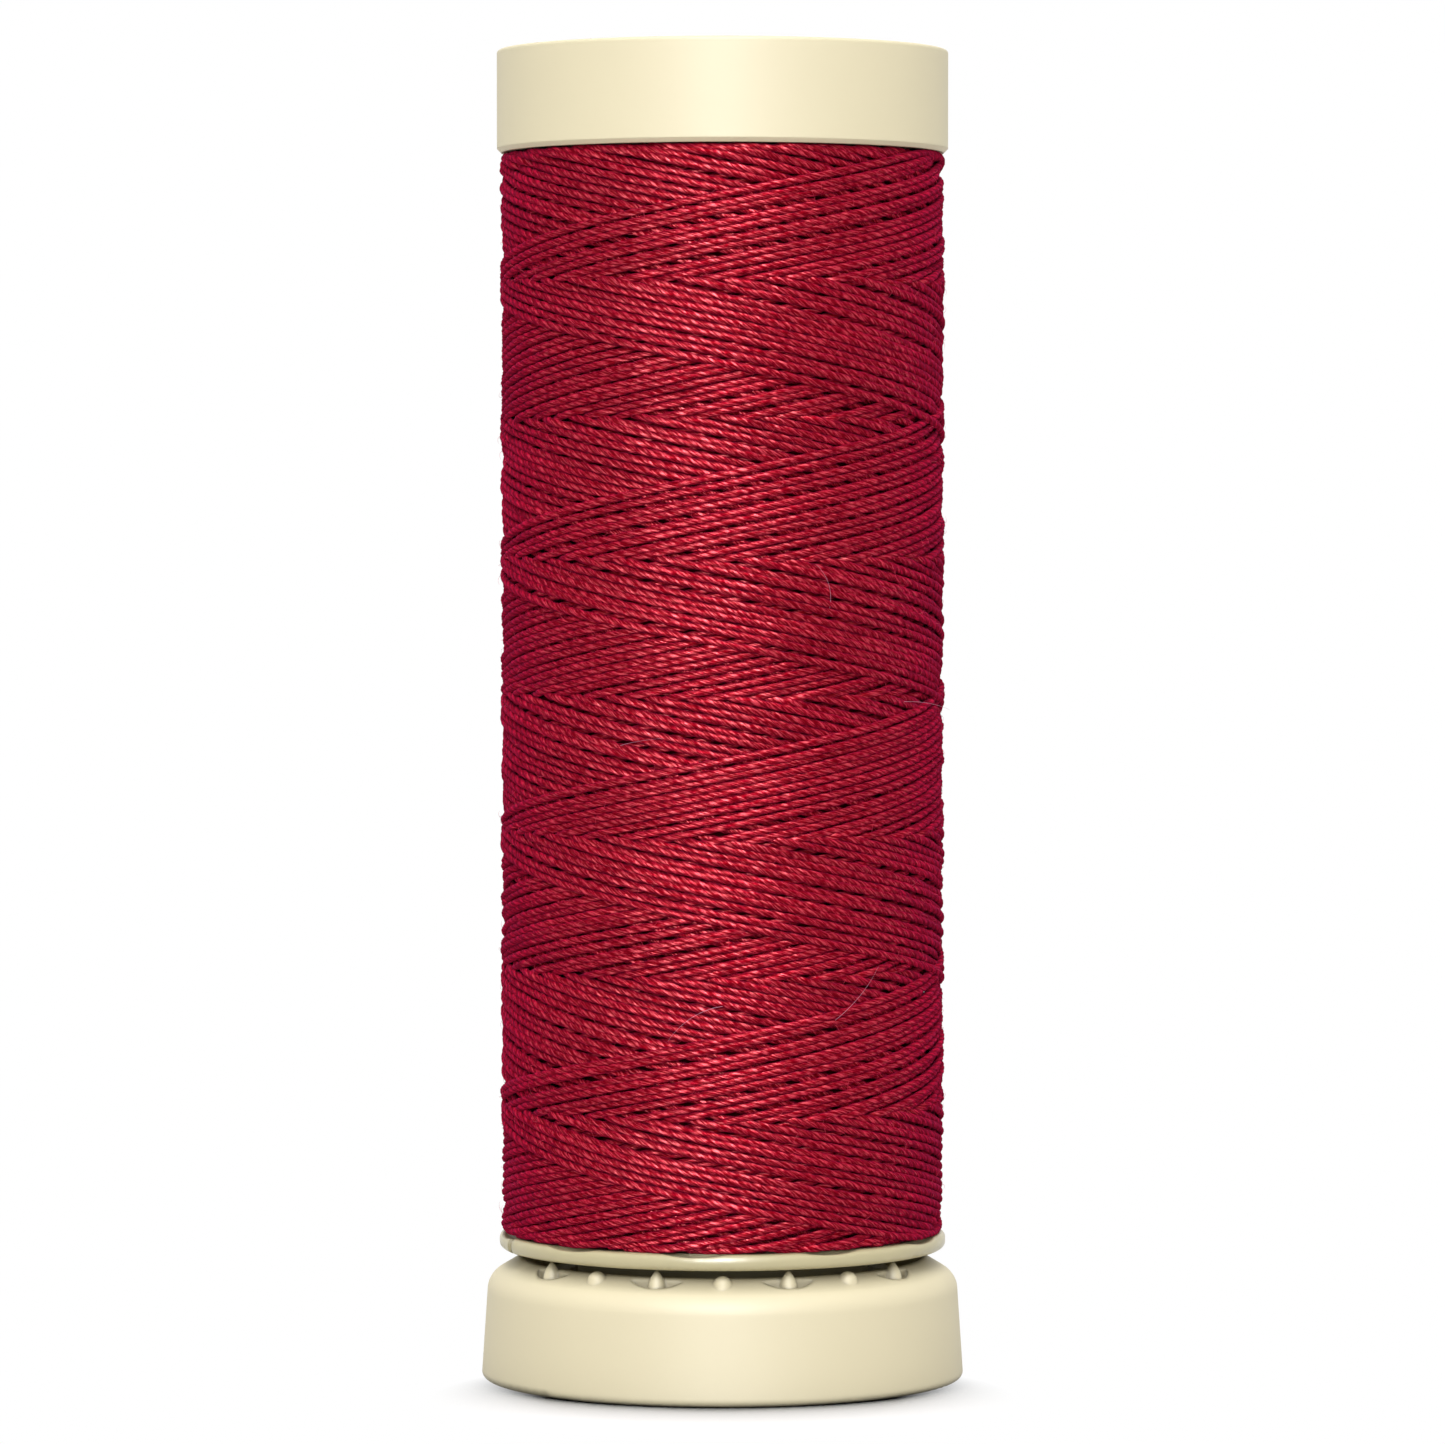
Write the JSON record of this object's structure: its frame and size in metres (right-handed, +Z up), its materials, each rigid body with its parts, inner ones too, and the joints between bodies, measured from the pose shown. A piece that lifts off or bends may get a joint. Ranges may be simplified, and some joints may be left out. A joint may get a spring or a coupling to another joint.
{
  "type": "spool of thread",
  "caption": "Spool of sewing thread, cross-wound on a hollow plastic core with a cap and a snap foot whose rim catches the loose end.",
  "frame": {"origin": "centre of the ring that the foot stands on, in the plane of the floor", "axes": "+Z up along the spool's axis; -Y is the front, with one round peg of the catch straight ahead"},
  "size_m": [0.0224, 0.0224, 0.0619],
  "materials": {
    "core_plastic": "moulded cream plastic, satin gloss",
    "cap_plastic": "moulded cream plastic, satin gloss",
    "foot_plastic": "moulded cream plastic, satin gloss",
    "thread": "spun polyester sewing thread, soft sheen"
  },
  "bodies": {
    "foot": {"snap_foot": "foot_plastic"},
    "spool": {"spool_core": "core_plastic", "top_cap": "cap_plastic", "thread_winding": "thread"}
  },
  "joints": [
    {"name": "catch_slide", "type": "slide", "parent": "foot", "child": "spool", "axis": [0, 0, 1], "range_m": [0, 0.0019]}
  ]
}
